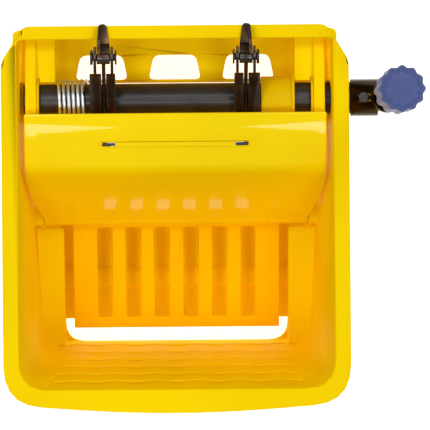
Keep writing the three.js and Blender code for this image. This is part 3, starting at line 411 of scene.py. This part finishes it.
def front_wall_point(up):
    """A point of the front wall's inner face, from 0 at the floor to 1 at the rim."""
    low_y = TUB_LOW.y + FRONT_WALL_LOW
    high_y = TUB_LOW.y + FRONT_WALL_HIGH
    height = TUB_HIGH.z - TUB_LOW.z
    z = TUB_LOW.z + (FRONT_WALL_START + FRONT_WALL_SHARE * up) * height
    return low_y + (high_y - low_y) * up, z


def wave_rib(name, up, sizes):
    """One rib: a bar across the wall, swung into waves and pinched between its crests."""
    y, z = front_wall_point(up)
    y_top, z_top = front_wall_point(1)
    lean = math.atan2(y_top - y, z_top - z)
    half_width = WAVE_HALF_WIDTH - WAVE_TAPER * (1 - up)
    bpy.ops.object.select_all(action="DESELECT")
    bpy.ops.mesh.primitive_cube_add(size=1, location=(TUB_MIDDLE_X, 0, 0))
    rib = bpy.context.active_object
    rib.scale = (2 * half_width, 2 * sizes.wave_rise, WAVE_BAR)
    settle(rib)
    bpy.ops.object.mode_set(mode="EDIT")
    bpy.ops.mesh.select_all(action="DESELECT")
    bpy.ops.object.mode_set(mode="OBJECT")
    for edge in rib.data.edges:
        a, b = (rib.data.vertices[i].co for i in edge.vertices)
        edge.select = abs(a.x - b.x) > half_width
    bpy.ops.object.mode_set(mode="EDIT")
    bpy.ops.mesh.select_mode(type="EDGE")
    bpy.ops.mesh.subdivide(number_cuts=WAVE_CUTS)
    bpy.ops.object.mode_set(mode="OBJECT")
    for vertex in rib.data.vertices:
        turn = (vertex.co.x - TUB_MIDDLE_X) / sizes.wave_pitch * 2 * math.pi
        crest = WAVE_CREST * math.cos(turn / 2) ** 4
        trough = WAVE_TROUGH * math.sin(turn / 2) ** 8
        fullness = WAVE_THIN + crest + trough
        across = vertex.co.z * fullness + sizes.wave_swing / 2 * math.cos(turn)
        out = vertex.co.y * fullness
        vertex.co.y = y + math.sin(lean) * across + math.cos(lean) * out
        vertex.co.z = z + math.cos(lean) * across - math.sin(lean) * out
    shade_smooth(rib, 60)
    give(rib, name, "tub", "tub")


# ------------------------------------------------------------------ the spring
SPRING_WIRE = 1.6 * MM
SPRING_TURNS = 6
SPRING_PITCH = 4.2 * MM
SPRING_SIDES = 14                   # faces round the wire
SPRING_STEPS = 48                   # faces along one turn


def spring_coil():
    """A ring of wire screwed along the shaft, with both ends closed."""
    radius = (SPRING_HIGH.z - SPRING_LOW.z) / 2 - SPRING_WIRE
    bpy.ops.object.select_all(action="DESELECT")
    bpy.ops.mesh.primitive_circle_add(
        vertices=SPRING_SIDES, radius=SPRING_WIRE, location=(0, radius, 0), fill_type="NOTHING",
    )
    coil = bpy.context.active_object
    settle(coil)
    apply_modifier(
        coil, "SCREW", axis="X", angle=2 * math.pi, screw_offset=SPRING_PITCH,
        iterations=SPRING_TURNS, steps=SPRING_STEPS, render_steps=SPRING_STEPS,
        use_merge_vertices=False,
    )
    bpy.ops.object.mode_set(mode="EDIT")
    bpy.ops.mesh.select_all(action="DESELECT")
    bpy.ops.mesh.select_non_manifold()
    bpy.ops.mesh.edge_face_add()
    bpy.ops.mesh.select_all(action="SELECT")
    bpy.ops.mesh.normals_make_consistent(inside=False)
    bpy.ops.object.mode_set(mode="OBJECT")
    coil.location = (SPRING_LOW.x + SPRING_WIRE, SHAFT_Y, SHAFT_Z)
    settle(coil)
    shade_smooth(coil, 60)
    give(coil, "return_spring", body_of("torsion_spring"), "zinc")
    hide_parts("torsion_spring")


# ------------------------------------------------------------------ operators
LAMP_COUNT = 4                      # softboxes in a ring round the camera's axis
LAMP_TILT = math.radians(24)
LAMP_DISTANCE = 3.0
LAMP_SIZE = 0.7
SENSOR_WIDTH = 36                   # of the camera, in millimetres
FLOOR_SIZE = 12
FLOOR_DROP = 0.5 * MM               # keeps the floor clear of the tub's foot
FLOOR_WHITE = (0.86, 0.86, 0.86)
FLOOR_GLOW = 0.9


class WringerOperator(bpy.types.Operator):
    bl_options = {"REGISTER", "UNDO"}


class WRINGER_OT_stage(WringerOperator):
    """Sets the floor, the studio light and the camera over the wringer"""

    bl_idname = "wringer.stage"
    bl_label = "Studio and camera"

    def execute(self, context):
        studio = context.scene.wringer_studio
        scene = context.scene
        scene.view_settings.view_transform = "Standard"
        self.floor()
        self.sky(scene, studio.sky)
        for turn in range(LAMP_COUNT):
            self.lamp(scene, studio.lamp, (turn + 0.5) * 2 * math.pi / LAMP_COUNT)
        lens = bpy.data.cameras.new("camera")
        lens.lens = studio.camera_lens
        lens.sensor_width = SENSOR_WIDTH
        lens.shift_x = studio.camera_shift
        lens.clip_end = 50
        camera = bpy.data.objects.new("camera", lens)
        camera.location = (
            TUB_MIDDLE_X, SHAFT_Y - studio.camera_behind_shaft, TUB_HIGH.z + studio.camera_height,
        )
        camera.rotation_euler = (0, 0, studio.camera_roll)
        scene.collection.objects.link(camera)
        scene.camera = camera
        return {"FINISHED"}

    def floor(self):
        bpy.ops.object.select_all(action="DESELECT")
        bpy.ops.mesh.primitive_plane_add(size=FLOOR_SIZE)
        floor = bpy.context.active_object
        floor.name = "floor"
        floor.location.z = -FLOOR_DROP
        settle(floor)
        shader = Shader("floor_white", FLOOR_WHITE, 0.9)
        shader.set("Emission Color", (1, 1, 1, 1))
        shader.set("Emission Strength", FLOOR_GLOW)
        floor.data.materials.append(shader.material)

    def sky(self, scene, strength):
        scene.world = bpy.data.worlds.new("studio")
        scene.world.use_nodes = True
        ground = scene.world.node_tree.nodes["Background"]
        ground.inputs["Color"].default_value = (1, 1, 1, 1)
        ground.inputs["Strength"].default_value = strength

    def lamp(self, scene, power, turn):
        light = bpy.data.lights.new("softbox", "AREA")
        light.size = LAMP_SIZE
        light.energy = power
        lamp = bpy.data.objects.new("softbox", light)
        reach = LAMP_DISTANCE * math.sin(LAMP_TILT)
        lamp.location = (
            reach * math.sin(turn), -reach * math.cos(turn), LAMP_DISTANCE * math.cos(LAMP_TILT),
        )
        lamp.rotation_euler = (LAMP_TILT, 0, turn)
        lamp.visible_camera = False
        scene.collection.objects.link(lamp)


class WRINGER_OT_tub(WringerOperator):
    """Finishes the moulded tub and adds the wavy ribs of its front wall"""

    bl_idname = "wringer.tub"
    bl_label = "Tub"

    def execute(self, context):
        sizes = context.scene.wringer_sizes
        finished_from("housing", "moulded_tub", sizes.tub_edge, 3, split_faces=True)
        for row in range(sizes.wave_rows):
            wave_rib(f"front_wave_{row + 1}", (row + 0.6) / (sizes.wave_rows + 0.2), sizes)
        return {"FINISHED"}


class WRINGER_OT_press(WringerOperator):
    """Finishes the press hood and the slatted grate"""

    bl_idname = "wringer.press"
    bl_label = "Hood and grate"

    def execute(self, context):
        sizes = context.scene.wringer_sizes
        finished_from("press_hood", "press_plate", sizes.hood_edge, 3)
        finished_from("strainer_grate", "slatted_grate", sizes.grate_edge, 2)
        return {"FINISHED"}


class WRINGER_OT_shaft(WringerOperator):
    """Finishes the cross shaft with its bushes, sleeve and return spring"""

    bl_idname = "wringer.shaft"
    bl_label = "Shaft"

    def execute(self, context):
        sizes = context.scene.wringer_sizes
        finished_from("shaft", "cross_shaft", sizes.steel_edge)
        finished_from("spacer_sleeve", "flanged_sleeve", sizes.steel_edge * 2)
        for side in SIDES:
            finished_from(f"bush_{side}", f"shaft_bush_{side}", sizes.steel_edge)
        spring_coil()
        return {"FINISHED"}


class WRINGER_OT_levers(WringerOperator):
    """Finishes the cranks, links, pins and clips on both sides"""

    bl_idname = "wringer.levers"
    bl_label = "Levers and pins"

    def execute(self, context):
        edge = context.scene.wringer_sizes.steel_edge
        for side in SIDES:
            finished_from(f"crank_{side}", f"horned_crank_{side}", edge)
            finished_from(f"link_{side}", f"strap_link_{side}", edge)
            finished_from(f"crank_pin_{side}", f"headed_pin_{side}", edge)
            finished_from(f"crank_pin_clip_{side}", f"open_clip_{side}", edge / 2)
            finished_from(f"hood_clevis_{side}", f"clevis_{side}", edge)
            finished_from(f"link_pin_{side}", f"clevis_pin_{side}", edge)
            finished_from(f"hood_pivot_pin_{side}", f"hinge_pin_{side}", edge)
            finished_from(f"grate_screw_{side}", f"grate_fixing_{side}", edge)
        return {"FINISHED"}


class WRINGER_OT_handle(WringerOperator):
    """Finishes the handle with its socket, bolt and grip"""

    bl_idname = "wringer.handle"
    bl_label = "Handle"

    def execute(self, context):
        edge = context.scene.wringer_sizes.steel_edge
        finished_from("handle_socket", "elbow_socket", edge * 2)
        finished_from("handle_tube", "upright_tube", edge)
        finished_from("grip", "fluted_grip", edge * 3, 3)
        finished_from("socket_bolt", "clamp_bolt", edge)
        finished_from("socket_nut", "clamp_nut", edge)
        return {"FINISHED"}


class WRINGER_PT_panel(bpy.types.Panel):
    """Lists the wringer's pieces, sizes and colours"""

    bl_idname = "WRINGER_PT_panel"
    bl_label = "Mop wringer"
    bl_space_type = "VIEW_3D"
    bl_region_type = "UI"
    bl_category = "Wringer"

    def draw(self, context):
        for group in ("wringer_sizes", "wringer_colours", "wringer_studio"):
            values = getattr(context.scene, group)
            for key in values.__annotations__:
                self.layout.prop(values, key)
        for operator in OPERATORS:
            self.layout.operator(operator.bl_idname)


GROUPS = {
    "wringer_sizes": WringerSizes,
    "wringer_colours": WringerColours,
    "wringer_studio": WringerStudio,
}
OPERATORS = (
    WRINGER_OT_stage,
    WRINGER_OT_tub,
    WRINGER_OT_press,
    WRINGER_OT_shaft,
    WRINGER_OT_levers,
    WRINGER_OT_handle,
)
CLASSES = (*GROUPS.values(), *OPERATORS, WRINGER_PT_panel)


def register():
    for cls in CLASSES:
        bpy.utils.register_class(cls)
    for name, group in GROUPS.items():
        setattr(bpy.types.Scene, name, bpy.props.PointerProperty(type=group))


def unregister():
    for name in GROUPS:
        delattr(bpy.types.Scene, name)
    for cls in reversed(CLASSES):
        bpy.utils.unregister_class(cls)


def main():
    register()
    make_materials(bpy.context.scene.wringer_colours)
    bpy.ops.wringer.stage()
    bpy.ops.wringer.tub()
    bpy.ops.wringer.press()
    bpy.ops.wringer.shaft()
    bpy.ops.wringer.levers()
    bpy.ops.wringer.handle()


if __name__ == "__main__":
    main()
